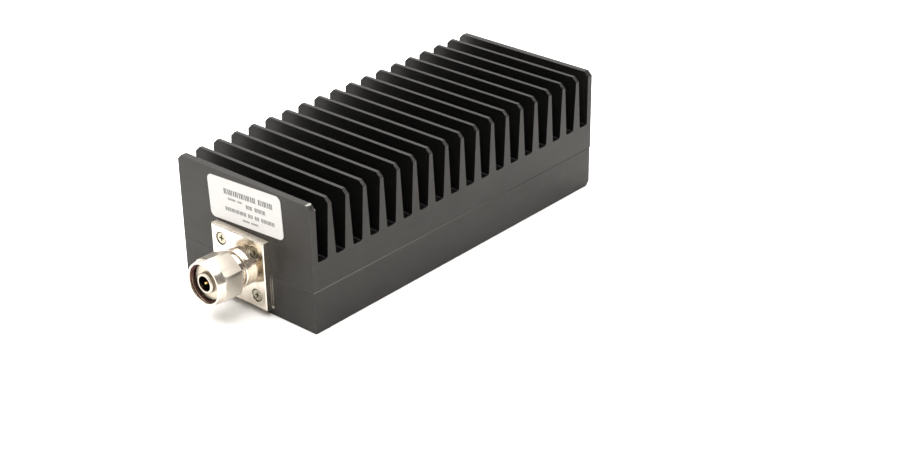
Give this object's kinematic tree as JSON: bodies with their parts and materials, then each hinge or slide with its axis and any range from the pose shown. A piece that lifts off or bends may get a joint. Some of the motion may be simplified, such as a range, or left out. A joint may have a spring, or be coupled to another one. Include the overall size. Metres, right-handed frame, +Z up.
{
  "type": "rf attenuator",
  "caption": "Coaxial power attenuator: black finned heat sink on a base block, with a flanged plug and its coupling nut at one end and a flanged threaded jack at the other.",
  "frame": {"origin": "centre of the underside of the base cover", "axes": "+X along the signal axis from the plug to the jack, +Z up through the fins, -Y the long side that the picture shows"},
  "size_m": [0.2064, 0.072, 0.0532],
  "materials": {
    "black_anodised": "satin black anodised",
    "nickel_plate": "bright nickel plate on brass",
    "screw_steel": "plain stainless",
    "gold_plate": "gold plate",
    "white_insulator": "matte",
    "red_silicone": "matte",
    "label_white": "satin film",
    "copper": "plain",
    "film_ceramic": "matte"
  },
  "bodies": {
    "body": {"heat_sink": "black_anodised", "base_cover": "black_anodised", "cover_screws": "screw_steel", "label": "label_white", "plug_body": "nickel_plate", "plug_screws": "screw_steel", "plug_outer_contact": "nickel_plate", "plug_insulator": "white_insulator", "plug_pin": "gold_plate", "plug_gasket": "red_silicone", "nut_ring": "screw_steel", "jack_body": "nickel_plate", "jack_screws": "screw_steel", "jack_insulator": "white_insulator", "jack_socket": "gold_plate", "element_carrier": "copper", "carrier_screws": "screw_steel", "film_element": "film_ceramic", "input_line": "copper", "output_line": "copper"},
    "nut": {"coupling_nut": "nickel_plate"}
  },
  "joints": [
    {"name": "nut_turn", "type": "hinge", "parent": "body", "child": "nut", "pos_m": [-0.0987, 0.0014, 0.0172], "axis": [-1, 0, 0], "continuous": true}
  ]
}
